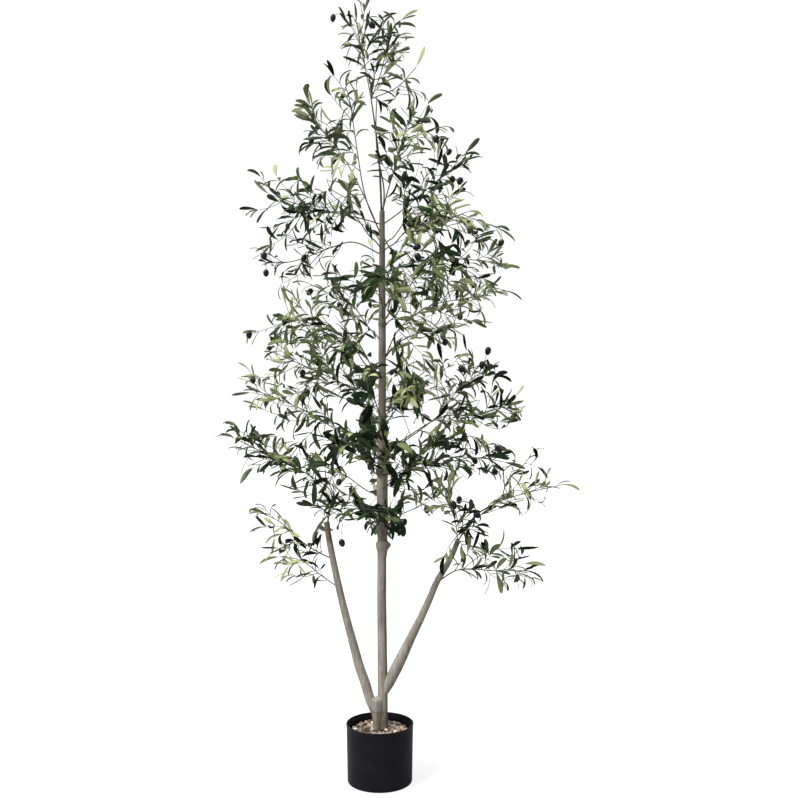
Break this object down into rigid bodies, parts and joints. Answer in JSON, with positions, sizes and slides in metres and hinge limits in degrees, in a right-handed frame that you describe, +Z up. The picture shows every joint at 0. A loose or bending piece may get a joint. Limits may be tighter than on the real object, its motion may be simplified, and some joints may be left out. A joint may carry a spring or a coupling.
{
  "type": "artificial potted olive tree",
  "caption": "Tall slender artificial olive tree: a straight stem with two low side boughs, an open crown of narrow-leaved wire branches with olives, and a plain round pot.",
  "frame": {"origin": "centre of the pot's flat underside, on the floor", "axes": "+Z up the stem, +X to the right and -Y towards the viewer when the tree is seen from the front"},
  "size_m": [0.9802, 0.845, 2.0961],
  "materials": {
    "pot": "satin",
    "pebbles": "matte",
    "bark": "matte",
    "wire_coat": "matte",
    "leaves": "matte"
  },
  "bodies": {
    "root": {"bough_left": "bark", "bough_right": "bark", "fill": "pebbles", "foliage_back_b": "leaves", "foliage_back_d": "leaves", "foliage_back_f": "leaves", "foliage_back_left_a": "leaves", "foliage_back_left_b": "leaves", "foliage_back_left_d": "leaves", "foliage_back_left_f": "leaves", "foliage_back_left_g": "leaves", "foliage_back_right_a": "leaves", "foliage_back_right_c": "leaves", "foliage_back_right_g": "leaves", "foliage_bough_left": "leaves", "foliage_bough_right": "leaves", "foliage_front_b": "leaves", "foliage_front_d": "leaves", "foliage_front_g": "leaves", "foliage_front_left_a": "leaves", "foliage_front_left_c": "leaves", "foliage_front_left_f": "leaves", "foliage_front_right_a": "leaves", "foliage_front_right_b": "leaves", "foliage_front_right_d": "leaves", "foliage_front_right_f": "leaves", "foliage_high_right": "leaves", "foliage_left_a": "leaves", "foliage_left_b": "leaves", "foliage_left_c": "leaves", "foliage_left_d": "leaves", "foliage_left_e": "leaves", "foliage_left_f": "leaves", "foliage_left_g": "leaves", "foliage_left_low": "leaves", "foliage_right_a": "leaves", "foliage_right_b": "leaves", "foliage_right_c": "leaves", "foliage_right_d": "leaves", "foliage_right_e": "leaves", "foliage_right_f": "leaves", "foliage_right_g": "leaves", "foliage_right_h": "leaves", "foliage_right_low": "leaves", "foliage_tip_core": "leaves", "foliage_tip_left": "leaves", "foliage_tip_right": "leaves", "foliage_top_left": "leaves", "foliage_top_right": "leaves", "foliage_upper_left": "leaves", "foliage_upper_right": "leaves", "leader": "wire_coat", "pot": "pot", "trunk": "bark", "wire_foliage_left_a": "wire_coat", "wire_foliage_left_b": "wire_coat", "wire_foliage_right_c": "wire_coat", "wire_foliage_right_e": "wire_coat", "wire_foliage_right_f": "wire_coat", "wire_foliage_upper_left": "wire_coat"}
  },
  "joints": []
}
